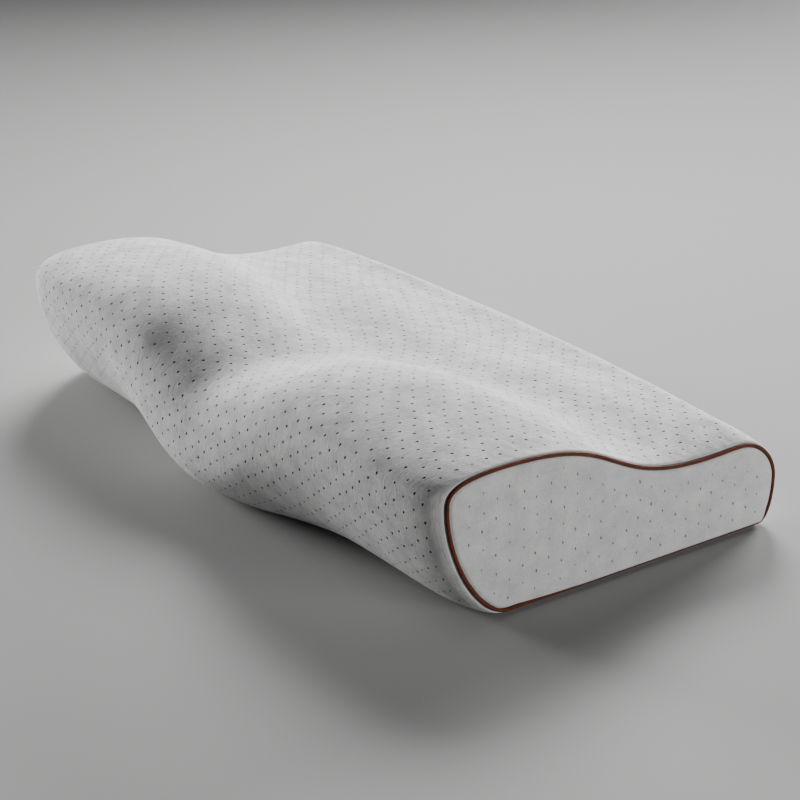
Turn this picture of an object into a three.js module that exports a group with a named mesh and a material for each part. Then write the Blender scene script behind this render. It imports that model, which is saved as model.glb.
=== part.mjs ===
// Contour memory foam pillow: two raised side wings, a lower head cradle between them that opens
// over a rounded neck lobe, and a flat shelf along the back, in a knitted cover with piped ends.
// Millimetres. +X runs along the length, +Y towards the back edge, +Z up. It lies on z = 0.
import * as THREE from 'three';

// Driving dimensions
const LENGTH = 500; // between the crowned faces of the two end panels
const PANEL_THICKNESS = 2.4; // of an end panel at its sewn rim
const PANEL_CROWN = 1.2; // the middle of an end panel stands this far beyond its rim
const PIPING_DIAMETER = 2.4;
const SEAM_GAP = 0.3; // clearance between pieces that are sewn together
const PIPING_INSET = 3; // from the cover's outline in to the middle of the piping
const PIPING_SETBACK = 2.3; // from the end panel's crown back to the middle of the piping
const SEAM_TURN = 2.6; // the cover turns in this far where it meets an end seam
const SEAM_TURN_RUN = 2.5; // length over which it turns in

// Where the filled body ends, and the flat back of an end panel, from the middle of the pillow
const BODY_END = LENGTH / 2 - PANEL_CROWN - PANEL_THICKNESS - SEAM_GAP;
const PANEL_BACK = BODY_END + SEAM_GAP;
const PIPING_AT = LENGTH / 2 - PIPING_SETBACK;

// Cross-sections, the same on both sides of the middle. Going round from the underside: the foot
// is where the front leaves the table, the nose is the foremost point, the crest is the top of
// the front, the dip is the bottom of the slope behind it, the brow is the back of the shelf, the
// back is the rearmost point, and the heel is where the back meets the table.
const SECTION_COLUMNS = [
  'at', 'footY', 'noseY', 'noseZ', 'crestY', 'crestZ', 'dipY', 'dipZ',
  'browY', 'browZ', 'backY', 'backZ', 'heelY',
];
const SECTION_ROWS = [
  [0, -118, -150, 27, -86, 85, 30, 73, 119, 65, 150, 37, 125],
  [40, -112, -149, 37, -90, 93, 30, 74, 119, 65, 149, 37, 124],
  [80, -96, -146, 59, -90, 104, 38, 76, 119, 65, 147, 37, 123],
  [120, -86, -143, 73, -83, 108, 48, 75, 117, 66, 142, 36, 121],
  [165, -87, -141, 81, -76, 106, 58, 73, 111, 68, 137, 34, 120],
  [210, -89, -138, 83, -75, 102, 67, 69, 105, 68, 135, 33, 122],
  [240, -84, -133, 81, -80, 99, 73, 65, 104, 65, 138, 32, 126],
  [250, -77, -125, 79, -82, 99, 80, 62, 106, 63, 139, 32, 125],
];

// How far each curve between two named points holds its direction, as a part of the span
const HOLD = {
  footForward: 0.45,
  noseDown: 0.45,
  noseUp: 0.52,
  crestForward: 0.9,
  crestBack: 0.58,
  dipForward: 0.53,
  shelf: 0.4,
  browBack: 0.54,
  backUp: 0.52,
  backDown: 0.65,
  heelBack: 0.5,
};

// Facets along each curve of a section
const STEPS = { underside: 6, front: 9, roll: 8, slope: 12, shelf: 5, brow: 8, heel: 7 };
const BODY_STATIONS = 28; // equal lengths between the two seam turns
const TURN_STEPS = 3; // facets round a seam turn
const PIPING_SIDES = 8;
const PANEL_RINGS = [0.82, 0.5]; // size of each ring of the crown, as a part of the rim
const PANEL_MIDDLE = new THREE.Vector2(0, 46); // the crown's highest point, in Y and Z

const SECTIONS = SECTION_ROWS.map((row) => new Map(row.map((value, i) => [SECTION_COLUMNS[i], value])));

const MATERIALS = {
  cover: new THREE.MeshStandardMaterial({ color: '#c6c6c4', roughness: 0.95, metalness: 0 }),
  endPanel: new THREE.MeshStandardMaterial({ color: '#bcbcba', roughness: 0.95, metalness: 0 }),
  piping: new THREE.MeshStandardMaterial({ color: '#7b4128', roughness: 0.7, metalness: 0 }),
};

// How fast a column of the table changes with the distance from the middle, at one row
function columnSlope(index, column) {
  if (index === 0) return 0;
  const before = SECTIONS[index - 1];
  const after = SECTIONS[Math.min(index + 1, SECTIONS.length - 1)];
  return (after.get(column) - before.get(column)) / (after.get('at') - before.get('at'));
}

// A section's named sizes at a place along the length, on a smooth curve through the rows
function sectionSizes(x) {
  const last = SECTIONS.length - 1;
  const at = Math.min(Math.abs(x), SECTIONS[last].get('at'));
  let index = 0;
  while (index < last - 1 && SECTIONS[index + 1].get('at') <= at) index += 1;
  const [from, to] = [SECTIONS[index], SECTIONS[index + 1]];
  const span = to.get('at') - from.get('at');
  const t = (at - from.get('at')) / span;
  const sizes = {};
  for (const column of SECTION_COLUMNS) {
    const rise = to.get(column) - from.get(column);
    const leave = columnSlope(index, column) * span;
    const arrive = columnSlope(index + 1, column) * span;
    const bend = (3 - 2 * t) * t * t * rise;
    sizes[column] = from.get(column) + bend + t * (1 - t) * ((1 - t) * leave - t * arrive);
  }
  return sizes;
}

// Points part of the way from one point to another, along Y alone or along Z alone
function level(from, to, part) {
  return new THREE.Vector2(THREE.MathUtils.lerp(from.x, to.x, part), from.y);
}

function upright(from, to, part) {
  return new THREE.Vector2(from.x, THREE.MathUtils.lerp(from.y, to.y, part));
}

// The closed outline of a section, as (y, z) points, seen from +X and going clockwise
function sectionOutline(x) {
  const s = sectionSizes(x);
  const heel = new THREE.Vector2(s.heelY, 0);
  const foot = new THREE.Vector2(s.footY, 0);
  const nose = new THREE.Vector2(s.noseY, s.noseZ);
  const crest = new THREE.Vector2(s.crestY, s.crestZ);
  const dip = new THREE.Vector2(s.dipY, s.dipZ);
  const brow = new THREE.Vector2(s.browY, s.browZ);
  const back = new THREE.Vector2(s.backY, s.backZ);
  const curves = [
    [STEPS.underside, heel, level(heel, foot, 1 / 3), level(foot, heel, 1 / 3), foot],
    [STEPS.front, foot, level(foot, nose, HOLD.footForward), upright(nose, foot, HOLD.noseDown), nose],
    [STEPS.roll, nose, upright(nose, crest, HOLD.noseUp), level(crest, nose, HOLD.crestForward), crest],
    [STEPS.slope, crest, level(crest, dip, HOLD.crestBack), level(dip, crest, HOLD.dipForward), dip],
    [STEPS.shelf, dip, level(dip, brow, HOLD.shelf), level(brow, dip, HOLD.shelf), brow],
    [STEPS.brow, brow, level(brow, back, HOLD.browBack), upright(back, brow, HOLD.backUp), back],
    [STEPS.heel, back, upright(back, heel, HOLD.backDown), level(heel, back, HOLD.heelBack), heel],
  ];
  return curves.flatMap(([steps, ...points]) => {
    return new THREE.CubicBezierCurve(...points).getPoints(steps).slice(0, steps);
  });
}

// The direction out of a closed outline at one of its points
function outward(points, i) {
  const before = points.at(i - 1);
  const after = points[(i + 1) % points.length];
  const along = new THREE.Vector2().subVectors(after, before).normalize();
  return new THREE.Vector2(-along.y, along.x);
}

// The outline moved in by a distance all round
function movedIn(points, distance) {
  return points.map((point, i) => point.clone().addScaledVector(outward(points, i), -distance));
}

// The outline made smaller about the panel's middle
function shrunk(points, part) {
  return points.map((point) => PANEL_MIDDLE.clone().lerp(point, part));
}

// A closed solid through outlines that are placed in order along +X, with flat or pointed ends
function loftedSolid(rings, material, name, tip = null) {
  const count = rings[0].points.length;
  const positions = rings.flatMap(({ x, points }) => points.flatMap((point) => [x, point.x, point.y]));
  const triangles = [];
  for (let r = 0; r + 1 < rings.length; r += 1) {
    for (let i = 0; i < count; i += 1) {
      const next = (i + 1) % count;
      const [a, b] = [r * count + i, (r + 1) * count + i];
      const [c, d] = [(r + 1) * count + next, r * count + next];
      triangles.push(a, b, c, a, c, d);
    }
  }
  const addFlatEnd = (ring, facing) => {
    const points = rings[ring].points;
    for (const [a, b, c] of THREE.ShapeUtils.triangulateShape(points, [])) {
      const turn = THREE.ShapeUtils.area([points[a], points[b], points[c]]);
      const order = turn * facing > 0 ? [a, b, c] : [a, c, b];
      triangles.push(...order.map((i) => ring * count + i));
    }
  };
  const lastRing = rings.length - 1;
  addFlatEnd(0, -1);
  if (tip === null) {
    addFlatEnd(lastRing, 1);
  } else {
    positions.push(tip.x, tip.y, tip.z);
    for (let i = 0; i < count; i += 1) {
      triangles.push(lastRing * count + i, rings.length * count, lastRing * count + ((i + 1) % count));
    }
  }
  return solidMesh(positions, triangles, material, name);
}

function solidMesh(positions, triangles, material, name) {
  const geometry = new THREE.BufferGeometry();
  geometry.setAttribute('position', new THREE.Float32BufferAttribute(positions, 3));
  geometry.setIndex(triangles);
  geometry.computeVertexNormals();
  const mesh = new THREE.Mesh(geometry, material);
  mesh.name = name;
  return mesh;
}

// The filled body: even stations along the middle, then the cover turning in to each end seam
function coverBody() {
  const turnFrom = BODY_END - SEAM_TURN_RUN;
  const rings = [];
  for (let i = 0; i <= BODY_STATIONS; i += 1) {
    const x = THREE.MathUtils.lerp(-turnFrom, turnFrom, i / BODY_STATIONS);
    rings.push({ x, points: sectionOutline(x) });
  }
  for (let i = 1; i <= TURN_STEPS; i += 1) {
    const angle = (i / TURN_STEPS) * (Math.PI / 2);
    const x = turnFrom + SEAM_TURN_RUN * Math.sin(angle);
    const points = movedIn(sectionOutline(x), SEAM_TURN * (1 - Math.cos(angle)));
    rings.push({ x, points });
    rings.unshift({ x: -x, points });
  }
  return loftedSolid(rings, MATERIALS.cover, 'cover_body');
}

// One end panel, flat at its back and slightly crowned outside, made on the +X end
function endPanel(name) {
  const inset = PIPING_INSET + PIPING_DIAMETER / 2 + SEAM_GAP;
  const rim = movedIn(sectionOutline(PIPING_AT), inset);
  const rimFace = PANEL_BACK + PANEL_THICKNESS;
  const rings = [{ x: PANEL_BACK, points: rim }, { x: rimFace, points: rim }];
  for (const part of PANEL_RINGS) {
    rings.push({ x: rimFace + PANEL_CROWN * (1 - part ** 2), points: shrunk(rim, part) });
  }
  const tip = new THREE.Vector3(LENGTH / 2, PANEL_MIDDLE.x, PANEL_MIDDLE.y);
  return loftedSolid(rings, MATERIALS.endPanel, name, tip);
}

// One closed loop of piping along the end seam, made on the +X end
function pipingLoop(name) {
  const path = movedIn(sectionOutline(PIPING_AT), PIPING_INSET);
  const positions = [];
  const triangles = [];
  path.forEach((middle, i) => {
    const out = outward(path, i);
    for (let side = 0; side < PIPING_SIDES; side += 1) {
      const angle = (side / PIPING_SIDES) * 2 * Math.PI;
      const point = middle.clone().addScaledVector(out, (PIPING_DIAMETER / 2) * Math.cos(angle));
      positions.push(PIPING_AT + (PIPING_DIAMETER / 2) * Math.sin(angle), point.x, point.y);
      const nextSide = (side + 1) % PIPING_SIDES;
      const nextPoint = (i + 1) % path.length;
      const [a, b] = [i * PIPING_SIDES + side, i * PIPING_SIDES + nextSide];
      const [c, d] = [nextPoint * PIPING_SIDES + nextSide, nextPoint * PIPING_SIDES + side];
      triangles.push(a, b, c, a, c, d);
    }
  });
  return solidMesh(positions, triangles, MATERIALS.piping, name);
}

// The same piece on the other end: reflected in the middle plane, with its faces turned back out
function onLeftEnd(mesh) {
  const positions = mesh.geometry.getAttribute('position');
  const triangles = mesh.geometry.getIndex();
  for (let i = 0; i < positions.count; i += 1) {
    positions.setX(i, -positions.getX(i));
  }
  for (let i = 0; i < triangles.count; i += 3) {
    const second = triangles.getX(i + 1);
    triangles.setX(i + 1, triangles.getX(i + 2));
    triangles.setX(i + 2, second);
  }
  mesh.geometry.computeVertexNormals();
  return mesh;
}

const pillow = new THREE.Group();
pillow.name = 'contour_pillow';
pillow.add(coverBody());
pillow.add(endPanel('end_panel_right'));
pillow.add(onLeftEnd(endPanel('end_panel_left')));
pillow.add(pipingLoop('piping_right'));
pillow.add(onLeftEnd(pipingLoop('piping_left')));

export default pillow;
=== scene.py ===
"""Winged contour pillow in a pinholed knitted cover, with piped end panels."""

import math

import bpy
import numpy as np
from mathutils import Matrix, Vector, geometry, noise


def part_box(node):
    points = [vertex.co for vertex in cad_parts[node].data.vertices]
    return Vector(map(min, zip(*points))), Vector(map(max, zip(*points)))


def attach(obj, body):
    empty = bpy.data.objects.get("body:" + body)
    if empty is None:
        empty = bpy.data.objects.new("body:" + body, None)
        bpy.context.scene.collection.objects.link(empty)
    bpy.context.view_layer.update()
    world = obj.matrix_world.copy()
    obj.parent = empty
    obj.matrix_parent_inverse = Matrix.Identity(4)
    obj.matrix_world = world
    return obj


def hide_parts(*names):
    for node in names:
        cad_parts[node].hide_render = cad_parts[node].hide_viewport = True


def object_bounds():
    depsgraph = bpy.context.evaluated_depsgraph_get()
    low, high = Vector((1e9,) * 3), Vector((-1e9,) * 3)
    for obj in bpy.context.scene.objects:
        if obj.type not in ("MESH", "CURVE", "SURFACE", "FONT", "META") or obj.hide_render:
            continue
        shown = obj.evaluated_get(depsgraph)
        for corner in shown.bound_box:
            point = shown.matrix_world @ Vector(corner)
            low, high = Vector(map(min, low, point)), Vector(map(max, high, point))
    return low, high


bl_info = {
    "name": "Contour Pillow",
    "version": (1, 0, 0),
    "blender": (4, 5, 0),
    "location": "View3D > Sidebar > Pillow",
    "description": "Builds a winged contour pillow in a pinholed knitted cover",
    "category": "Add Mesh",
}

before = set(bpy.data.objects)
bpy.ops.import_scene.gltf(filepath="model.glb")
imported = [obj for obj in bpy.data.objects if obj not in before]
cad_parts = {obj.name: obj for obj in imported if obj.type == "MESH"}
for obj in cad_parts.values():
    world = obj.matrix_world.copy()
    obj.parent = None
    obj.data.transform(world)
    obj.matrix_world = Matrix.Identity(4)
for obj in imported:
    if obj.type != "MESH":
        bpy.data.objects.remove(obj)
CAD_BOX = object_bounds()

MM = 0.001
HALF_LENGTH = CAD_BOX[1].x
BODY_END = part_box("cover_body")[1].x
PANEL_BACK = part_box("end_panel_right")[0].x
PIPING_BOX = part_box("piping_right")
PIPING_AT = (PIPING_BOX[0].x + PIPING_BOX[1].x) / 2

# Cross-sections in millimetres, the same on both sides of the middle. The foot is where the front
# leaves the table, the nose is the foremost point, the crest is the top of the front, the dip is
# the bottom of the slope behind it, the brow is the back of the shelf, the back is the rearmost
# point, and the heel is where the back meets the table.
SECTION_COLUMNS = (
    "at", "foot_y", "nose_y", "nose_z", "crest_y", "crest_z", "dip_y", "dip_z",
    "brow_y", "brow_z", "back_y", "back_z", "heel_y",
)
SECTION_ROWS = (
    (0, -118, -150, 27, -86, 85, 30, 73, 119, 65, 150, 37, 125),
    (40, -112, -149, 37, -90, 93, 30, 74, 119, 65, 149, 37, 124),
    (80, -96, -146, 59, -90, 104, 38, 76, 119, 65, 147, 37, 123),
    (120, -86, -143, 73, -83, 108, 48, 75, 117, 66, 142, 36, 121),
    (165, -87, -141, 81, -76, 106, 58, 73, 111, 68, 137, 34, 120),
    (210, -89, -138, 83, -75, 102, 67, 69, 105, 68, 135, 33, 122),
    (240, -84, -133, 81, -80, 99, 73, 65, 104, 65, 138, 32, 126),
    (250, -77, -125, 79, -82, 99, 80, 62, 106, 63, 139, 32, 125),
)
SECTIONS = np.array(SECTION_ROWS) * MM
AT = SECTIONS[:, 0]
WING_AT = 120 * MM  # the middle of a wing, where it is highest

# How far each curve between two named points holds its direction, as a part of the span
FOOT_FORWARD, NOSE_DOWN = 0.45, 0.45
NOSE_UP, CREST_FORWARD = 0.52, 0.9
CREST_BACK, DIP_FORWARD = 0.58, 0.53
SHELF_HOLD = 0.4
BROW_BACK, BACK_UP = 0.54, 0.52
BACK_DOWN, HEEL_BACK = 0.65, 0.5

# The cover at an end seam: it draws in softly, turns in over a short run, laps up to the outer
# side of the piping, and is tucked back behind it
SEAM_TURN, SEAM_TURN_RUN, SEAM_TURN_RINGS = 0.95 * MM, 1.4 * MM, 6
SOFT_TURN, SOFT_TURN_RUN = 0.9 * MM, 20 * MM
SEAM_LAP, SEAM_TUCK = 0.8 * MM, 0.4 * MM
SEAM_GAP = 0.3 * MM  # between the piping and an end panel
PIPING_INSET = 3 * MM  # how far inside the section's outline the piping runs
PANEL_INSET = PIPING_INSET + (PIPING_BOX[1].x - PIPING_BOX[0].x) / 2 + SEAM_GAP

CURVE_STEPS = 60  # points along each curve of a section, before they are spaced evenly
STEPS_PER_CELL = 4  # mesh steps along the length for half a pinhole spacing
STEPS_PER_ROW = 3  # mesh steps round the top, front and back for one row of pinholes
STEPS_PER_HIDDEN_ROW = 2  # the same, on the underside
RING_OF_EIGHT = ((1, 0), (1, 1), (0, 1), (-1, 1), (-1, 0), (-1, -1), (0, -1), (1, -1))
RIM_PIT = 0.02  # how deep a pinhole's rim is drawn in, as a part of its depth
FULL_SHADE_PIT = 0.14  # how deep the painted shade in a pinhole is full, as a part of its depth
COVER_HOLE_STRETCH = 1.4  # how much longer than wide a pinhole is pulled, round the body
PANEL_HOLE_STRETCH = 1.8
PANEL_HOLE_WIDTH, PANEL_HOLE_DEPTH = 0.75, 0.6  # a panel's pinhole, as parts of one in the cover


def linear(code):
    """An sRGB hex colour as linear red, green, blue and alpha."""
    channels = [int(code[i:i + 2], 16) / 255 for i in (1, 3, 5)]
    return tuple(c / 12.92 if c <= 0.04045 else ((c + 0.055) / 1.055) ** 2.4 for c in channels) + (1.0,)


COVER_SHADE, PANEL_SHADE = linear("#c2c3c2"), linear("#c6c7c6")  # where the nap lies away from the light
# Painted shade: the dark colour the pinholes are filled with towards their middle
PAINTED_HOLE_SHADE = linear("#2b2b2b")
PIPING_SHADE = linear("#4c2216")
SKY_COLOUR = linear("#f4f5f7")


class PillowSizes(bpy.types.PropertyGroup):
    """Sizes of the cover's details."""
    hole_spacing: bpy.props.FloatProperty(
        name="Pinhole spacing", description="Distance between the pinholes of one row",
        default=15.2 * MM, min=6 * MM, unit="LENGTH", precision=4)
    row_spacing: bpy.props.FloatProperty(
        name="Row spacing", description="Distance between rows of pinholes",
        default=5.7 * MM, min=3 * MM, unit="LENGTH", precision=4)
    hole_radius: bpy.props.FloatProperty(
        name="Pinhole radius", description="Radius of a pinhole at its rim",
        default=0.8 * MM, min=0.2 * MM, unit="LENGTH", precision=4)
    hole_depth: bpy.props.FloatProperty(
        name="Pinhole depth", description="How far a pinhole sinks into the cover",
        default=1.6 * MM, min=0.0, unit="LENGTH", precision=4)
    hole_wander: bpy.props.FloatProperty(
        name="Pinhole wander", description="How far a pinhole may sit off its place in the pattern",
        default=0.75 * MM, min=0.0, unit="LENGTH", precision=4)
    panel_hole_spacing: bpy.props.FloatProperty(
        name="Panel pinhole spacing", description="Distance between the pinholes of one row on an end panel",
        default=20 * MM, min=6 * MM, unit="LENGTH", precision=4)
    panel_crown: bpy.props.FloatProperty(
        name="Panel crown", description="How far an end panel stands out in its middle",
        default=1.2 * MM, min=0.0, unit="LENGTH", precision=4)
    pucker_depth: bpy.props.FloatProperty(
        name="Pucker depth", description="Height of the small puckers where the cover meets an end seam",
        default=0.16 * MM, min=0.0, unit="LENGTH", precision=5)
    piping_diameter: bpy.props.FloatProperty(
        name="Piping diameter", description="Diameter of the corded piping",
        default=2.4 * MM, min=1 * MM, unit="LENGTH", precision=4)


class PillowColours(bpy.types.PropertyGroup):
    """Colours of the cloth and of the floor."""
    cover: bpy.props.FloatVectorProperty(
        name="Cover", description="Colour of the knitted cover",
        subtype="COLOR", size=4, default=linear("#e6e7e5"), min=0.0, max=1.0)
    panel: bpy.props.FloatVectorProperty(
        name="End panel", description="Colour of the knitted end panels",
        subtype="COLOR", size=4, default=linear("#dddedc"), min=0.0, max=1.0)
    piping: bpy.props.FloatVectorProperty(
        name="Piping", description="Colour of the corded piping",
        subtype="COLOR", size=4, default=linear("#74361b"), min=0.0, max=1.0)
    floor: bpy.props.FloatVectorProperty(
        name="Floor", description="Colour of the pale floor",
        subtype="COLOR", size=4, default=linear("#ababaa"), min=0.0, max=1.0)


def column_slopes():
    """How fast each column of the table changes with the distance from the middle, at each row."""
    slopes = np.zeros_like(SECTIONS)
    slopes[1:-1] = (SECTIONS[2:] - SECTIONS[:-2]) / (AT[2:] - AT[:-2])[:, None]
    slopes[-1] = (SECTIONS[-1] - SECTIONS[-2]) / (AT[-1] - AT[-2])
    return slopes


SLOPES = column_slopes()


def section_sizes(x):
    """A section's named sizes at a place along the length, on a smooth curve through the rows."""
    at = min(abs(x), AT[-1])
    row = min(int(np.searchsorted(AT, at, side="right")) - 1, len(AT) - 2)
    span = AT[row + 1] - AT[row]
    t = (at - AT[row]) / span
    bend = (3 - 2 * t) * t * t * (SECTIONS[row + 1] - SECTIONS[row])
    turn = t * (1 - t) * ((1 - t) * SLOPES[row] - t * SLOPES[row + 1]) * span
    return dict(zip(SECTION_COLUMNS, SECTIONS[row] + bend + turn))


def bezier(start, leave, arrive, end):
    """Points along a curve, without its end."""
    t = np.linspace(0, 1, CURVE_STEPS, endpoint=False)[:, None]
    s = 1 - t
    return s ** 3 * start + 3 * s * s * t * leave + 3 * s * t * t * arrive + t ** 3 * end


def level(start, end, part):
    """The point part of the way from start to end along Y alone."""
    return np.array([start[0] + (end[0] - start[0]) * part, start[1]])


def upright(start, end, part):
    """The point part of the way from start to end along Z alone."""
    return np.array([start[0], start[1] + (end[1] - start[1]) * part])


def section_over(x):
    """A section's (y, z) points from the foot over the top to the heel."""
    size = section_sizes(x)
    foot = np.array([size["foot_y"], 0.0])
    heel = np.array([size["heel_y"], 0.0])
    nose, crest, dip, brow, back = (
        np.array([size[name + "_y"], size[name + "_z"]])
        for name in ("nose", "crest", "dip", "brow", "back"))
    curves = (
        bezier(foot, level(foot, nose, FOOT_FORWARD), upright(nose, foot, NOSE_DOWN), nose),
        bezier(nose, upright(nose, crest, NOSE_UP), level(crest, nose, CREST_FORWARD), crest),
        bezier(crest, level(crest, dip, CREST_BACK), level(dip, crest, DIP_FORWARD), dip),
        bezier(dip, level(dip, brow, SHELF_HOLD), level(brow, dip, SHELF_HOLD), brow),
        bezier(brow, level(brow, back, BROW_BACK), upright(back, brow, BACK_UP), back),
        bezier(back, upright(back, heel, BACK_DOWN), level(heel, back, HEEL_BACK), heel),
    )
    return np.concatenate(curves + (heel[None],))


def evenly(points, count):
    """count + 1 points at equal distances along a line of points, and the line's length."""
    steps = np.linalg.norm(np.diff(points, axis=0), axis=1)
    lengths = np.concatenate([[0.0], np.cumsum(steps)])
    at = np.linspace(0, lengths[-1], count + 1)
    return np.column_stack([np.interp(at, lengths, points[:, k]) for k in (0, 1)]), lengths[-1]


def over_length(x):
    """The length of a section's line from the foot over the top to the heel."""
    return evenly(section_over(x), 1)[1]


def under_length(x):
    """The length of a section's line along the table."""
    size = section_sizes(x)
    return size["heel_y"] - size["foot_y"]


def section_ring(x, over_steps, under_steps):
    """A section's closed outline with evenly spaced points, and each point's place along the cloth."""
    over, over_way = evenly(section_over(x), over_steps)
    under = np.linspace(over[-1], over[0], under_steps + 1)
    under_way = np.linalg.norm(over[-1] - over[0])
    along = np.concatenate([
        np.linspace(0, over_way, over_steps, endpoint=False),
        over_way + np.linspace(0, under_way, under_steps, endpoint=False),
    ]) - over_way / 2
    return np.concatenate([over[:-1], under[:-1]]), along, over_way + under_way


def outward(ring):
    """The direction out of a closed outline at each of its points."""
    along = np.roll(ring, -1, axis=0) - np.roll(ring, 1, axis=0)
    along /= np.linalg.norm(along, axis=1)[:, None]
    return np.column_stack([-along[:, 1], along[:, 0]])


def moved_in(ring, distance):
    """The outline moved in by a distance all round."""
    return ring - outward(ring) * distance


def grid_faces(rings, count, wrap_rings=False):
    """Quads between rings of count points each, and the grid place of each of their corners."""
    i, j = np.meshgrid(np.arange(rings if wrap_rings else rings - 1), np.arange(count), indexing="ij")
    corners_i = np.stack([i, i + 1, i + 1, i], axis=-1).reshape(-1, 4)
    corners_j = np.stack([j, j, j + 1, j + 1], axis=-1).reshape(-1, 4)
    faces = (corners_i % rings) * count + corners_j % count
    return faces, corners_i, corners_j


def new_piece(name, points, faces, cloth=()):
    """A smooth mesh object from points and faces.

    Its UVs are each corner's place along the cloth, and 0 on the last faces where cloth is shorter.
    """
    mesh = bpy.data.meshes.new(name)
    mesh.from_pydata(points.tolist(), [], faces)
    mesh.update()
    layer = mesh.uv_layers.new(name="cloth")
    values = np.zeros((len(mesh.loops), 2), dtype=np.float32)
    if len(cloth):
        values[:len(cloth)] = cloth
    layer.data.foreach_set("uv", values.ravel())
    mesh.shade_smooth()
    piece = bpy.data.objects.new(name, mesh)
    bpy.context.scene.collection.objects.link(piece)
    return piece


def add(tree, kind, inputs=None, **settings):
    """One node with its settings; inputs gives each socket a value or links it to another output."""
    node = tree.nodes.new(kind)
    for name, value in settings.items():
        setattr(node, name, value)
    for socket, value in (inputs or {}).items():
        if isinstance(value, bpy.types.NodeSocket):
            tree.links.new(value, node.inputs[socket])
        else:
            node.inputs[socket].default_value = value
    return node


PINHOLE_INPUTS = (
    ("Geometry", "NodeSocketGeometry"),
    ("Radius", "NodeSocketFloat"),
    ("Depth", "NodeSocketFloat"),
    ("Variation", "NodeSocketFloat"),
    ("Seed", "NodeSocketInt"),
    ("Material", "NodeSocketMaterial"),
)


def pinhole_nodes():
    """Geometry Nodes that open a pinhole at each marked place of a cloth mesh.

    Each point near a hole carries reach, the way to the hole's middle, rim, its direction on the
    hole's rim, into, the way into the filling, pit, how deep it sinks, and hole, the hole's number.
    """
    tree = bpy.data.node_groups.new("Pinholes", "GeometryNodeTree")
    for name, kind in PINHOLE_INPUTS:
        tree.interface.new_socket(name, in_out="INPUT", socket_type=kind)
    tree.interface.new_socket("Geometry", in_out="OUTPUT", socket_type="NodeSocketGeometry")
    given = add(tree, "NodeGroupInput").outputs

    def marked(name, kind):
        read = add(tree, "GeometryNodeInputNamedAttribute", {"Name": name}, data_type=kind)
        return read.outputs["Attribute"]

    chance = add(tree, "FunctionNodeRandomValue", {
        2: -1.0, 3: 1.0, "ID": marked("hole", "INT"), "Seed": given["Seed"]}, data_type="FLOAT")
    spread = add(tree, "ShaderNodeMath", {0: chance.outputs[1], 1: given["Variation"], 2: 1.0},
                 operation="MULTIPLY_ADD").outputs[0]
    radius = add(tree, "ShaderNodeMath", {0: given["Radius"], 1: spread}, operation="MULTIPLY").outputs[0]
    depth = add(tree, "ShaderNodeMath", {0: given["Depth"], 1: spread}, operation="MULTIPLY").outputs[0]
    sink = add(tree, "ShaderNodeMath", {0: depth, 1: marked("pit", "FLOAT")}, operation="MULTIPLY").outputs[0]
    onto_rim = add(tree, "ShaderNodeVectorMath", {0: marked("rim", "FLOAT_VECTOR"), "Scale": radius},
                   operation="SCALE").outputs[0]
    sunk = add(tree, "ShaderNodeVectorMath", {0: marked("into", "FLOAT_VECTOR"), "Scale": sink},
               operation="SCALE").outputs[0]
    gathered = add(tree, "ShaderNodeVectorMath", {0: marked("reach", "FLOAT_VECTOR"), 1: onto_rim},
                   operation="ADD").outputs[0]
    offset = add(tree, "ShaderNodeVectorMath", {0: gathered, 1: sunk}, operation="ADD").outputs[0]
    opened = add(tree, "GeometryNodeSetPosition", {"Geometry": given["Geometry"], "Offset": offset})
    on_rim = add(tree, "FunctionNodeCompare", {
        0: marked("pit", "FLOAT"), 1: RIM_PIT, "Epsilon": RIM_PIT / 10},
        data_type="FLOAT", operation="EQUAL").outputs[0]
    crisp = add(tree, "GeometryNodeSetShadeSmooth", {
        0: opened.outputs[0], "Selection": on_rim, "Shade Smooth": False}, domain="EDGE")
    plain = add(tree, "GeometryNodeRealizeInstances", {"Geometry": crisp.outputs[0]})
    finished = add(tree, "GeometryNodeSetMaterial", {
        "Geometry": plain.outputs[0], "Material": given["Material"]})
    add(tree, "NodeGroupOutput", {"Geometry": finished.outputs[0]})
    return tree


def run_nodes(piece, tree, values):
    """Runs a Geometry Nodes tree on a piece and keeps the result as its plain mesh."""
    modifier = piece.modifiers.new(tree.name, "NODES")
    modifier.node_group = tree
    for item in tree.interface.items_tree:
        if item.in_out == "INPUT" and item.name in values:
            modifier[item.identifier] = values[item.name]
    depsgraph = bpy.context.evaluated_depsgraph_get()
    mesh = bpy.data.meshes.new_from_object(piece.evaluated_get(depsgraph))
    mesh.name = piece.name
    piece.modifiers.clear()
    plain = piece.data
    piece.data = mesh
    bpy.data.meshes.remove(plain)


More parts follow.
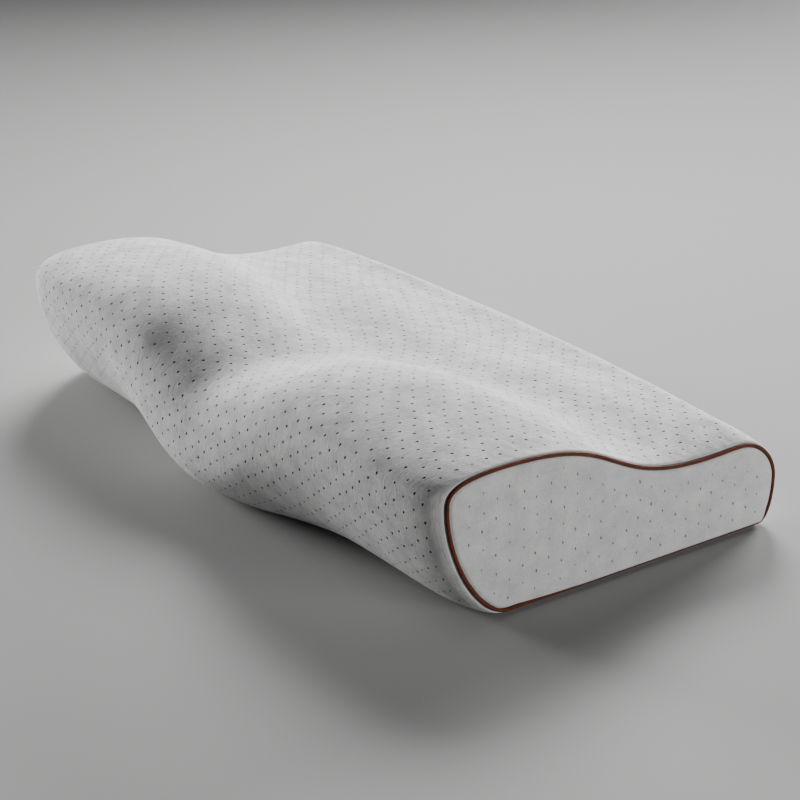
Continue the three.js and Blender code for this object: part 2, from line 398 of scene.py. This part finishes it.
class HoleMarks:
    """What each point of a cloth mesh needs to know of the pinhole beside it."""

    def __init__(self, count, seed):
        self.reach = np.zeros((count, 3))
        self.rim = np.zeros((count, 3))
        self.into = np.zeros((count, 3))
        self.pit = np.zeros(count)
        self.hole = np.zeros(count, dtype=int)
        self.random = np.random.default_rng(seed)
        self.holes = 0

    def add(self, middle, around, points, along, across, inward, wander, stretch):
        """One pinhole, from its middle point, the eight round it and the cloth's directions there."""
        self.holes += 1
        shift = self.random.uniform(-wander, wander, 2)
        place = points[middle] + along * shift[0] + across * shift[1]
        ring = np.array(around)
        angles = np.arctan2([b for _, b in RING_OF_EIGHT], [a for a, _ in RING_OF_EIGHT])
        self.reach[middle] = place - points[middle]
        self.pit[middle] = 1.0
        self.reach[ring] = place - points[ring]
        self.rim[ring] = np.outer(np.cos(angles), along) + np.outer(np.sin(angles) * stretch, across)
        self.pit[ring] = RIM_PIT
        self.into[middle] = inward
        self.into[ring] = inward
        self.hole[middle] = self.holes
        self.hole[ring] = self.holes

    def write(self, mesh):
        """Stores the marks on a mesh for the pinhole nodes and the knit material."""
        for name, kind, values in (
            ("reach", "FLOAT_VECTOR", self.reach), ("rim", "FLOAT_VECTOR", self.rim),
            ("into", "FLOAT_VECTOR", self.into), ("pit", "FLOAT", self.pit), ("hole", "INT", self.hole),
        ):
            field = "vector" if kind == "FLOAT_VECTOR" else "value"
            mesh.attributes.new(name, kind, "POINT").data.foreach_set(field, values.ravel())


def unit(vectors):
    """The vectors at a length of 1."""
    return vectors / np.linalg.norm(vectors, axis=-1, keepdims=True)


def body_stations(cells):
    """Places along the length of every ring of the body, and how far each ring is moved in."""
    turn_from = BODY_END + SEAM_LAP - SEAM_TURN_RUN
    middle = np.linspace(-turn_from, turn_from, cells * STEPS_PER_CELL + 1)
    angles = np.linspace(0, math.pi / 2, SEAM_TURN_RINGS + 1)[1:]
    turn_at = np.append(turn_from + SEAM_TURN_RUN * np.sin(angles), BODY_END)
    turn_in = np.append(SEAM_TURN * (1 - np.cos(angles)), SEAM_TURN + SEAM_TUCK)
    places = np.concatenate([-turn_at[::-1], middle, turn_at])
    insets = np.concatenate([turn_in[::-1], np.zeros(len(middle)), turn_in])
    soft = np.clip((np.abs(places) - (BODY_END - SOFT_TURN_RUN)) / SOFT_TURN_RUN, 0, 1)
    return places, insets + SOFT_TURN * soft ** 2


def with_ends(rows):
    """The rows with the first and the last of them doubled."""
    return np.concatenate([rows[:1], rows, rows[-1:]])


UNEVEN_HEIGHT, UNEVEN_WIDTH = 0.35 * MM, 40 * MM  # slow unevenness of the foam under the cover
UNEVEN_CALM = 12 * MM  # it dies away over this distance from an end seam
PUCKER_SPACING, PUCKER_REACH = 8.5 * MM, 6 * MM  # small puckers along an end seam
PUCKER_START = 2 * MM  # they rise over this distance from the seam
PUCKER_DRIFT, DRIFT_PLACE = 5, Vector((7, 3, 5))  # how far they wander along it, and in which noise
TABLE_CALM = 6 * MM  # all relief dies away over this height above the table


def body_relief(points, normals, along, pucker_depth):
    """How far each point of the body stands out: slow unevenness, and puckers near the end seams."""
    flat = points.reshape(-1, 3)
    slow = np.array([noise.noise(Vector(p) / UNEVEN_WIDTH) for p in flat]).reshape(points.shape[:2])
    drift = np.array([noise.noise(Vector(p) / UNEVEN_WIDTH + DRIFT_PLACE) for p in flat])
    drift = drift.reshape(points.shape[:2])
    from_seam = np.clip(BODY_END - np.abs(points[..., 0]), 0, None)
    waves = np.sin(2 * math.pi * along / PUCKER_SPACING + PUCKER_DRIFT * drift)
    start = np.clip(from_seam / PUCKER_START, 0, 1)
    pucker = pucker_depth * waves * np.exp(-from_seam / PUCKER_REACH) * start
    off_table = np.clip(points[..., 2] / TABLE_CALM, 0, 1) * np.clip(normals[..., 2] + 1, 0, 1)
    calm = np.clip(from_seam / UNEVEN_CALM, 0, 1)
    return (UNEVEN_HEIGHT * slow * calm + pucker) * off_table


def body_mesh(sizes):
    """The filled body's cover: a loft of even cross-sections whose mesh carries the pinhole pattern."""
    cells = 2 * round((BODY_END + SEAM_LAP - SEAM_TURN_RUN) * 2 / sizes.hole_spacing)
    rows_over = round(over_length(HALF_LENGTH / 2) / sizes.row_spacing)
    rows_under = round(2 * abs(section_sizes(WING_AT)["foot_y"]) / sizes.row_spacing)
    rows_under += (rows_over + rows_under) % 2
    over_steps = rows_over * STEPS_PER_ROW
    under_steps = rows_under * STEPS_PER_HIDDEN_ROW
    places, insets = body_stations(cells)
    count = over_steps + under_steps
    points = np.zeros((len(places), count, 3))
    along = np.zeros((len(places), count))
    girths = np.zeros(len(places))
    for i, (x, inset) in enumerate(zip(places, insets)):
        ring, along[i], girths[i] = section_ring(x, over_steps, under_steps)
        points[i, :, 0] = x
        points[i, :, 1:] = moved_in(ring, inset)
    length_way = with_ends(unit(np.gradient(points[1:-1], axis=0)))
    girth_way = unit(np.roll(points, -1, axis=1) - np.roll(points, 1, axis=1))
    normals = unit(np.cross(length_way, girth_way))
    points += normals * body_relief(points, normals, along, sizes.pucker_depth)[..., None]

    marks = HoleMarks(points.shape[0] * count, seed=11)
    flat_points = points.reshape(-1, 3)
    first = SEAM_TURN_RINGS + 1  # the ring where the evenly spaced stretch starts
    hole_rows = [row * STEPS_PER_ROW for row in range(rows_over)]
    hole_rows += [over_steps + row * STEPS_PER_HIDDEN_ROW for row in range(rows_under)]
    for number, j in enumerate(hole_rows):
        for cell in range(1 + (number + 1) % 2, cells, 2):
            i = first + cell * STEPS_PER_CELL
            around = [(i + a) * count + (j + b) % count for a, b in RING_OF_EIGHT]
            marks.add(i * count + j, around, flat_points, length_way[i, j], girth_way[i, j],
                      -normals[i, j], sizes.hole_wander, COVER_HOLE_STRETCH)
    faces, corner_i, corner_j = grid_faces(len(places), count)
    wrapped = np.where(corner_j == count, girths[corner_i], 0.0)
    round_it = along[corner_i, corner_j % count] + wrapped
    cloth = np.column_stack([places[corner_i].ravel(), round_it.ravel()])
    last = (len(places) - 1) * count
    ends = [list(range(count - 1, -1, -1)), list(range(last, last + count))]
    return flat_points, faces.tolist() + ends, cloth, marks


def mark_replaced(piece, node):
    """The piece hangs under the frame's root body in place of a node of the frame, whose own part is hidden.
    """
    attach(piece, "root")
    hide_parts(node)


def knit_material(name, colour, shade, wale, nap_length, nap_strength, hole_shade_amount):
    """Knitted cloth in brushed polyester.

    The eye gets a matt, even grey with a soft fuzz along the edges, a fine grain of small loops
    and a faint cloudiness where the nap lies differently, and little pinholes with painted shade in them. The
    wale is the distance between two columns of loops. A real one is about 0.6 mm, and it is drawn coarser
    so that it shows.
    """
    material = bpy.data.materials.new(name)
    material.use_nodes = True
    tree = material.node_tree
    tree.nodes.clear()
    place = add(tree, "ShaderNodeTexCoord").outputs["Object"]
    cloth = add(tree, "ShaderNodeUVMap", uv_map="cloth").outputs[0]

    # Clouds of 14 mm, tufts of 2 mm, short streaks along the courses, and the lay of the nap
    cloud = add(tree, "ShaderNodeTexNoise", {
        "Vector": place, "Scale": 1 / (14 * MM), "Detail": 3.0, "Roughness": 0.55}).outputs["Fac"]
    tuft = add(tree, "ShaderNodeTexNoise", {
        "Vector": place, "Scale": 1 / (2.2 * MM), "Detail": 2.0, "Roughness": 0.6}).outputs["Fac"]
    courses = add(tree, "ShaderNodeMapping", {
        "Vector": cloth, "Scale": (1 / (4.5 * MM), 1 / (0.9 * MM), 1.0)}).outputs[0]
    streak = add(tree, "ShaderNodeTexNoise", {
        "Vector": courses, "Scale": 1.0, "Detail": 2.0, "Roughness": 0.6}).outputs["Fac"]
    lay = add(tree, "ShaderNodeMapping", {
        "Vector": cloth, "Scale": (1 / (1.4 * MM), 1 / nap_length, 1.0)}).outputs[0]
    nap = add(tree, "ShaderNodeTexNoise", {
        "Vector": lay, "Scale": 1.0, "Detail": 2.0, "Roughness": 0.55}).outputs["Fac"]
    grain = add(tree, "ShaderNodeMath", {0: streak, 1: 0.8, 2: nap}, operation="MULTIPLY_ADD").outputs[0]
    patches = add(tree, "ShaderNodeMath", {0: grain, 1: 0.5, 2: cloud}, operation="MULTIPLY_ADD").outputs[0]
    shading = add(tree, "ShaderNodeMapRange", {
        "Value": patches, "From Min": 0.7, "From Max": 1.15, "To Min": 0.0, "To Max": 1.0}).outputs[0]
    ground = add(tree, "ShaderNodeMix", {0: shading, 6: shade, 7: colour}, data_type="RGBA").outputs[2]
    # Painted shade in the pinholes: the colour darkens from the rim towards the deepest middle
    pit = add(tree, "ShaderNodeAttribute", attribute_name="pit").outputs["Fac"]
    hole_shade = add(tree, "ShaderNodeMapRange", {
        "Value": pit, "From Min": RIM_PIT, "From Max": FULL_SHADE_PIT, "To Min": 0.0, "To Max": hole_shade_amount},
        interpolation_type="SMOOTHSTEP").outputs[0]
    base = add(tree, "ShaderNodeMix", {0: hole_shade, 6: ground, 7: PAINTED_HOLE_SHADE}, data_type="RGBA").outputs[2]

    # Loops of the knit: each wale is a column of small leaning arches
    split = add(tree, "ShaderNodeSeparateXYZ", {0: cloth}).outputs
    across = add(tree, "ShaderNodeMath", {0: split["X"], 1: 1 / wale}, operation="MULTIPLY").outputs[0]
    lean = add(tree, "ShaderNodeMath", {0: across, 1: 0.5}, operation="PINGPONG").outputs[0]
    down = add(tree, "ShaderNodeMath", {0: split["Y"], 1: 1 / (0.85 * wale), 2: lean},
               operation="MULTIPLY_ADD").outputs[0]
    arch = add(tree, "ShaderNodeMath", {0: down, 1: 0.5}, operation="PINGPONG").outputs[0]
    loop = add(tree, "ShaderNodeMath", {0: lean, 1: arch}, operation="ADD").outputs[0]
    fuzz = add(tree, "ShaderNodeTexNoise", {
        "Vector": place, "Scale": 1 / (0.9 * MM), "Detail": 4.0, "Roughness": 0.65}).outputs["Fac"]
    knit_bump = add(tree, "ShaderNodeBump", {"Height": loop, "Strength": 0.35, "Distance": 0.25 * MM})
    nap_bump = add(tree, "ShaderNodeBump", {
        "Height": fuzz, "Strength": nap_strength, "Distance": 0.5 * MM, "Normal": knit_bump.outputs[0]})
    tuft_bump = add(tree, "ShaderNodeBump", {
        "Height": tuft, "Strength": nap_strength, "Distance": 0.5 * MM, "Normal": nap_bump.outputs[0]})
    lay_bump = add(tree, "ShaderNodeBump", {
        "Height": nap, "Strength": nap_strength, "Distance": 0.9 * MM, "Normal": tuft_bump.outputs[0]})

    shader = add(tree, "ShaderNodeBsdfPrincipled", {
        "Base Color": base, "Roughness": 0.95, "IOR": 1.5, "Specular IOR Level": 0.2,
        "Sheen Weight": 0.12, "Sheen Roughness": 0.5, "Normal": lay_bump.outputs[0]})
    add(tree, "ShaderNodeOutputMaterial", {"Surface": shader.outputs[0]})
    return material


class PILLOW_OT_add_cover(bpy.types.Operator):
    """Adds the filled body in its pinholed knitted cover"""
    bl_idname = "pillow.add_cover"
    bl_label = "Filled body and cover"

    def execute(self, context):
        sizes, colours = context.scene.pillow_sizes, context.scene.pillow_colours
        points, faces, cloth, marks = body_mesh(sizes)
        piece = new_piece("knitted_cover", points, faces, cloth)
        marks.write(piece.data)
        material = knit_material("brushed_polyester_knit", colours.cover, COVER_SHADE,
                                 wale=1.2 * MM, nap_length=5.5 * MM, nap_strength=0.35,
                                 hole_shade_amount=0.95)
        run_nodes(piece, pinhole_nodes(), {
            "Radius": sizes.hole_radius, "Depth": sizes.hole_depth, "Variation": 0.18, "Seed": 3,
            "Material": material})
        mark_replaced(piece, "cover_body")
        return {"FINISHED"}


PANEL_STEP = 2 * MM  # size of the panel's mesh
PANEL_CLEAR = 1.2 * MM  # between the rows along the rim and the even mesh inside them
PANEL_MERGE = 1e-7  # points nearer than this, in metres, are one point
PANEL_STEPS_PER_ROW = 3
PANEL_ROLL = 2.4 * MM  # the panel's rim rolls back to the seam over this distance
PANEL_ROLL_DEPTH = 1.3 * MM
PANEL_CROWN_RUN = 14 * MM  # the crown rises from the rim over about this distance
PANEL_UNEVEN, PANELS_APART = 0.25 * MM, 3  # slow unevenness, and how far apart in the noise the two lie
PANEL_RIM_ROWS = (0.5 * MM, 1.1 * MM, 1.8 * MM, 2.7 * MM)  # rows of points that follow the rim
DROOP, DROOP_REACH = 1.0 * MM, 8 * MM  # the panel's lower edge hangs over the piping
DROOP_FORWARD = 0.55 * MM
DROOP_STARTS, DROOP_GROWS = 8 * MM, 50 * MM  # behind the foot, and over which distance
LIP, NECK = 0.2 * MM, 0.35 * MM  # how far behind the rim its back edge and its neck lie


def distances_to(outline, spots):
    """Distance of each spot from a closed outline."""
    start, end = outline, np.roll(outline, -1, axis=0)
    side = end - start
    away = spots[:, None, :] - start[None]
    part = np.clip((away * side).sum(-1) / (side ** 2).sum(-1), 0, 1)
    return np.linalg.norm(away - part[..., None] * side, axis=-1).min(1)


def inside(outline, spots):
    """Whether each spot is inside a closed outline."""
    within = np.zeros(len(spots), dtype=bool)
    for (y0, z0), (y1, z1) in zip(outline, np.roll(outline, -1, axis=0)):
        crosses = (z0 > spots[:, 1]) != (z1 > spots[:, 1])
        reach = y0 + (spots[:, 1] - z0) / np.where(z1 == z0, 1.0, z1 - z0) * (y1 - y0)
        within ^= crosses & (spots[:, 0] < reach)
    return within


def panel_mesh(sizes, side, seed):
    """An end panel: a slightly crowned face with pinholes, a rim rolled back to the seam, and a flat back.

    Along the table its rim hangs over the piping instead, as a thin lip.
    """
    rim_steps = round(over_length(PIPING_AT) / PANEL_STEP)
    under_steps = round(under_length(PIPING_AT) / PANEL_STEP)
    rim = moved_in(section_ring(PIPING_AT, rim_steps, under_steps)[0], PANEL_INSET)
    low, high = rim.min(0), rim.max(0)
    columns = np.arange(math.ceil(low[0] / PANEL_STEP), math.floor(high[0] / PANEL_STEP) + 1)
    rows = np.arange(math.ceil(low[1] / PANEL_STEP), math.floor(high[1] / PANEL_STEP) + 1)
    lattice = [(a, b) for a in columns for b in rows]
    spots = np.array(lattice) * PANEL_STEP
    depth_in = distances_to(rim, spots)
    kept = inside(rim, spots) & (depth_in > PANEL_RIM_ROWS[-1] + PANEL_CLEAR)
    rim_rows = [rim] + [moved_in(rim, depth) for depth in PANEL_RIM_ROWS]
    first = len(rim) * len(rim_rows)
    inner = {place: first + n for n, place in enumerate(p for p, keep in zip(lattice, kept) if keep)}
    flat = np.concatenate(rim_rows + [spots[kept]])
    edges = [(n, (n + 1) % len(rim)) for n in range(len(rim))]
    filled = geometry.delaunay_2d_cdt([Vector(p) for p in flat], edges, [], 1, PANEL_MERGE)[2]
    triangles = [tuple(face if side > 0 else face[::-1]) for face in filled]

    from_rim = np.concatenate([np.repeat((0.0,) + PANEL_RIM_ROWS, len(rim)), depth_in[kept]])
    crown = sizes.panel_crown * (1 - np.exp(-from_rim / PANEL_CROWN_RUN))
    behind_foot = flat[:, 0] - section_sizes(PIPING_AT)["foot_y"]
    growth = np.clip((behind_foot - DROOP_STARTS) / DROOP_GROWS, 0, 1)
    droop = growth * np.clip(1 - (flat[:, 1] - low[1]) / DROOP_REACH, 0, 1) ** 2
    roll = np.clip(1 - from_rim / PANEL_ROLL, 0, 1) * (1 - droop)
    uneven = np.array([
        noise.noise(Vector((side * PANELS_APART, y / UNEVEN_WIDTH, z / UNEVEN_WIDTH))) for y, z in flat])
    rim_face = HALF_LENGTH - sizes.panel_crown
    out = rim_face + crown - PANEL_ROLL_DEPTH * (1 - np.sqrt(1 - roll ** 2)) + DROOP_FORWARD * droop
    out += PANEL_UNEVEN * uneven * np.clip(from_rim / PANEL_ROLL, 0, 1)
    flat[:, 1] -= DROOP * droop
    points = np.column_stack([side * out, flat])

    rim_out = out[:len(rim)]
    lip = np.column_stack([side * (rim_out - LIP), flat[:len(rim)]])
    neck = np.column_stack([side * (rim_out - NECK), rim])
    back = np.column_stack([np.full(len(rim), side * PANEL_BACK), rim])
    behind = (lip, neck, back)
    starts = [0] + [len(points) + n * len(rim) for n in range(len(behind))]
    walls = [(a + n, a + m, b + m, b + n) for a, b in zip(starts, starts[1:]) for n, m in edges]
    closing = [tuple(range(starts[-1], starts[-1] + len(rim)))]
    if side > 0:
        walls = [wall[::-1] for wall in walls]
        closing = [face[::-1] for face in closing]

    marks = HoleMarks(len(points) + len(behind) * len(rim), seed)
    per_cell = round(sizes.panel_hole_spacing / 2 / PANEL_STEP)
    along, across = np.array([0, 1.0, 0]), np.array([0, 0, 1.0])
    for (a, b), middle in inner.items():
        on_lattice = a % per_cell == 0 and b % PANEL_STEPS_PER_ROW == 0
        staggered = (a // per_cell + b // PANEL_STEPS_PER_ROW) % 2 == 0
        around = [inner.get((a + da, b + db)) for da, db in RING_OF_EIGHT]
        if on_lattice and staggered and None not in around:
            marks.add(middle, around, points, along, across, np.array([-side, 0, 0]),
                      sizes.hole_wander, PANEL_HOLE_STRETCH)
    return np.concatenate((points,) + behind), triangles + walls + closing, marks


class PILLOW_OT_add_end_panels(bpy.types.Operator):
    """Adds the knitted panel at each end"""
    bl_idname = "pillow.add_end_panels"
    bl_label = "End panels"

    def execute(self, context):
        sizes, colours = context.scene.pillow_sizes, context.scene.pillow_colours
        material = knit_material("smooth_polyester_knit", colours.panel, PANEL_SHADE,
                                 wale=1.0 * MM, nap_length=2.2 * MM, nap_strength=0.2,
                                 hole_shade_amount=0.6)
        for name, side, seed in (("right", 1, 21), ("left", -1, 22)):
            points, faces, marks = panel_mesh(sizes, side, seed)
            corners = [corner for face in faces for corner in face]
            piece = new_piece("knitted_end_panel_" + name, points, faces, points[corners][:, 1:])
            marks.write(piece.data)
            run_nodes(piece, pinhole_nodes(), {
                "Radius": sizes.hole_radius * PANEL_HOLE_WIDTH, "Depth": sizes.hole_depth * PANEL_HOLE_DEPTH,
                "Variation": 0.3, "Seed": seed, "Material": material})
            mark_replaced(piece, "end_panel_" + name)
        return {"FINISHED"}


PIPING_STEP = 1.5 * MM
PIPING_SIDES = 14
SWAY, SWAY_WIDTH = 0.12 * MM, 22 * MM  # how far the sewn line strays, and over which distance
LOOPS_APART = 9 * MM  # how far apart in the noise the two loops lie


def piping_mesh(sizes, side):
    """A closed loop of piping in an end seam, with a slightly hand-sewn line."""
    radius = sizes.piping_diameter / 2
    ring, along, girth = section_ring(PIPING_AT, round(over_length(PIPING_AT) / PIPING_STEP),
                                      round(under_length(PIPING_AT) / PIPING_STEP))
    path = moved_in(ring, PIPING_INSET)
    out = outward(path)
    sway = SWAY * np.array([noise.noise(Vector((y, z, side * LOOPS_APART)) / SWAY_WIDTH) for y, z in path])
    angles = np.linspace(0, 2 * math.pi, PIPING_SIDES, endpoint=False)
    points = np.zeros((len(path), PIPING_SIDES, 3))
    for k, angle in enumerate(angles):
        points[:, k, 0] = side * (PIPING_AT + radius * math.sin(angle))
        points[:, k, 1:] = path + out * (radius * math.cos(angle) + sway)[:, None]
    faces, corner_i, corner_j = grid_faces(len(path), PIPING_SIDES, wrap_rings=True)
    if side < 0:
        faces, corner_i, corner_j = faces[:, ::-1], corner_i[:, ::-1], corner_j[:, ::-1]
    length = np.append(along, along[0] + girth)[corner_i].ravel()
    around = (corner_j * 2 * math.pi * radius / PIPING_SIDES).ravel()
    return points.reshape(-1, 3), faces.tolist(), np.column_stack([length, around])


def piping_material(colour):
    """Cotton piping, cut on the bias and woven.

    The eye gets a warm russet cord with a fine slanting weave, a little darker in places, with
    hardly any shine.
    """
    material = bpy.data.materials.new("bias_woven_cotton")
    material.use_nodes = True
    tree = material.node_tree
    tree.nodes.clear()
    place = add(tree, "ShaderNodeTexCoord").outputs["Object"]
    split = add(tree, "ShaderNodeSeparateXYZ", {
        0: add(tree, "ShaderNodeUVMap", uv_map="cloth").outputs[0]}).outputs
    thread = 0.7 * MM  # real threads are about 0.3 mm, drawn coarser so that they show
    sum_way = add(tree, "ShaderNodeMath", {0: split["X"], 1: split["Y"]}, operation="ADD").outputs[0]
    other_way = add(tree, "ShaderNodeMath", {0: split["X"], 1: split["Y"]}, operation="SUBTRACT").outputs[0]
    turning = 2 * math.pi / thread
    warp = add(tree, "ShaderNodeMath", {0: sum_way, 1: turning}, operation="MULTIPLY").outputs[0]
    weft = add(tree, "ShaderNodeMath", {0: other_way, 1: turning}, operation="MULTIPLY").outputs[0]
    warp_wave = add(tree, "ShaderNodeMath", {0: warp}, operation="SINE").outputs[0]
    weft_wave = add(tree, "ShaderNodeMath", {0: weft}, operation="SINE").outputs[0]
    weave = add(tree, "ShaderNodeMath", {0: warp_wave, 1: weft_wave}, operation="MAXIMUM").outputs[0]
    worn = add(tree, "ShaderNodeTexNoise", {
        "Vector": place, "Scale": 1 / (9 * MM), "Detail": 3.0, "Roughness": 0.6}).outputs["Fac"]
    tone = add(tree, "ShaderNodeMath", {0: weave, 1: 0.12, 2: worn}, operation="MULTIPLY_ADD").outputs[0]
    amount = add(tree, "ShaderNodeMapRange", {
        "Value": tone, "From Min": 0.25, "From Max": 0.8, "To Min": 0.0, "To Max": 1.0}).outputs[0]
    base = add(tree, "ShaderNodeMix", {0: amount, 6: PIPING_SHADE, 7: colour}, data_type="RGBA").outputs[2]
    bump = add(tree, "ShaderNodeBump", {"Height": weave, "Strength": 0.5, "Distance": 0.12 * MM})
    shader = add(tree, "ShaderNodeBsdfPrincipled", {
        "Base Color": base, "Roughness": 0.7, "IOR": 1.5, "Specular IOR Level": 0.25,
        "Sheen Weight": 0.05, "Normal": bump.outputs[0]})
    add(tree, "ShaderNodeOutputMaterial", {"Surface": shader.outputs[0]})
    return material


class PILLOW_OT_add_piping(bpy.types.Operator):
    """Adds the corded piping in each end seam"""
    bl_idname = "pillow.add_piping"
    bl_label = "Piping"

    def execute(self, context):
        sizes, colours = context.scene.pillow_sizes, context.scene.pillow_colours
        material = piping_material(colours.piping)
        for name, side in (("right", 1), ("left", -1)):
            points, faces, cloth = piping_mesh(sizes, side)
            piece = new_piece("corded_piping_" + name, points, faces, cloth)
            piece.data.materials.append(material)
            mark_replaced(piece, "piping_" + name)
        return {"FINISHED"}


# The camera's place in metres, its direction and its lens in millimetres. An azimuth of 0 looks
# along +Y, and 90 looks along -X.
CAMERA_AT = Vector((1.1301, -0.7930, 0.6006))
CAMERA_AZIMUTH, CAMERA_ELEVATION = math.radians(54.208), math.radians(22.295)
CAMERA_LENS, CAMERA_SENSOR = 97.69, 36.0
CAMERA_REACH = 40  # metres
FLOOR_SIZE = 16.0

# Soft lights: azimuth and elevation in degrees as seen from the pillow, distance, width and
# height in metres, the spread of the beam in degrees, and watts. Each hangs clear of the floor.
LIGHT_COLUMNS = ("name", "azimuth", "elevation", "distance", "width", "height", "spread", "watts")
LIGHTS = (
    ("window_light", 230, 34, 2.6, 1.0, 1.0, 48, 7.8),
    ("back_light", 200, 14, 3.0, 1.2, 1.0, 50, 13),
    ("front_light", 289, 10, 3.0, 1.2, 0.6, 60, 15),
    ("end_light", 115, 6, 3.0, 1.0, 0.4, 90, 11),
)
SKY_STRENGTH = 0.075


def from_azimuth(azimuth, elevation):
    """The direction towards an azimuth and elevation in degrees."""
    a, e = math.radians(azimuth), math.radians(elevation)
    return Vector((math.sin(a) * math.cos(e), -math.cos(a) * math.cos(e), math.sin(e)))


def floor_material(colour):
    """Matt painted board: a pale, even grey with hardly any grain."""
    material = bpy.data.materials.new("matt_painted_board")
    material.use_nodes = True
    tree = material.node_tree
    tree.nodes.clear()
    place = add(tree, "ShaderNodeTexCoord").outputs["Object"]
    grain = add(tree, "ShaderNodeTexNoise", {
        "Vector": place, "Scale": 1 / (3 * MM), "Detail": 3.0}).outputs["Fac"]
    bump = add(tree, "ShaderNodeBump", {"Height": grain, "Strength": 0.04, "Distance": 0.1 * MM})
    shader = add(tree, "ShaderNodeBsdfPrincipled", {
        "Base Color": colour, "Roughness": 0.75, "Specular IOR Level": 0.3, "Normal": bump.outputs[0]})
    add(tree, "ShaderNodeOutputMaterial", {"Surface": shader.outputs[0]})
    return material


class PILLOW_OT_add_stage(bpy.types.Operator):
    """Adds the floor, the soft lights and the camera"""
    bl_idname = "pillow.add_stage"
    bl_label = "Floor, lights and camera"

    def execute(self, context):
        scene = context.scene
        half = FLOOR_SIZE / 2
        corners = np.array([(-half, -half, 0), (half, -half, 0), (half, half, 0), (-half, half, 0)])
        floor = new_piece("floor", corners, [(0, 1, 2, 3)])
        floor.data.materials.append(floor_material(scene.pillow_colours.floor))

        for row in LIGHTS:
            given = dict(zip(LIGHT_COLUMNS, row))
            light = bpy.data.lights.new(given["name"], "AREA")
            light.shape = "RECTANGLE"
            light.size = given["width"]
            light.size_y = given["height"]
            light.spread = math.radians(given["spread"])
            light.energy = given["watts"]
            lamp = bpy.data.objects.new(given["name"], light)
            way = from_azimuth(given["azimuth"], given["elevation"])
            lamp.location = way * given["distance"]
            lamp.rotation_euler = way.to_track_quat("Z", "Y").to_euler()
            lamp.visible_camera = False
            scene.collection.objects.link(lamp)

        world = bpy.data.worlds.new("studio")
        world.use_nodes = True
        world.node_tree.nodes.clear()
        sky = add(world.node_tree, "ShaderNodeBackground", {"Color": SKY_COLOUR, "Strength": SKY_STRENGTH})
        add(world.node_tree, "ShaderNodeOutputWorld", {"Surface": sky.outputs[0]})
        scene.world = world

        camera = bpy.data.objects.new("camera", bpy.data.cameras.new("camera"))
        camera.data.lens = CAMERA_LENS
        camera.data.sensor_width = CAMERA_SENSOR
        camera.location = CAMERA_AT
        camera.rotation_euler = (math.pi / 2 - CAMERA_ELEVATION, 0, CAMERA_AZIMUTH)
        camera.data.clip_end = CAMERA_REACH
        scene.collection.objects.link(camera)
        scene.camera = camera
        return {"FINISHED"}


OPERATORS = (PILLOW_OT_add_cover, PILLOW_OT_add_end_panels, PILLOW_OT_add_piping, PILLOW_OT_add_stage)


class PILLOW_PT_pieces(bpy.types.Panel):
    """Lists the pillow's pieces, sizes and colours"""
    bl_label = "Contour Pillow"
    bl_idname = "PILLOW_PT_pieces"
    bl_space_type = "VIEW_3D"
    bl_region_type = "UI"
    bl_category = "Pillow"

    def draw(self, context):
        for group in (context.scene.pillow_sizes, context.scene.pillow_colours):
            for name in group.bl_rna.properties.keys():
                if name not in ("rna_type", "name"):
                    self.layout.prop(group, name)
        for operator in OPERATORS:
            self.layout.operator(operator.bl_idname)


CLASSES = (PillowSizes, PillowColours) + OPERATORS + (PILLOW_PT_pieces,)


def register():
    for item in CLASSES:
        bpy.utils.register_class(item)
    bpy.types.Scene.pillow_sizes = bpy.props.PointerProperty(type=PillowSizes)
    bpy.types.Scene.pillow_colours = bpy.props.PointerProperty(type=PillowColours)


def unregister():
    del bpy.types.Scene.pillow_colours
    del bpy.types.Scene.pillow_sizes
    for item in reversed(CLASSES):
        bpy.utils.unregister_class(item)


def main():
    """Builds the pillow and its stage in order."""
    register()
    bpy.ops.pillow.add_cover()
    bpy.ops.pillow.add_end_panels()
    bpy.ops.pillow.add_piping()
    bpy.ops.pillow.add_stage()


if __name__ == "__main__":
    main()
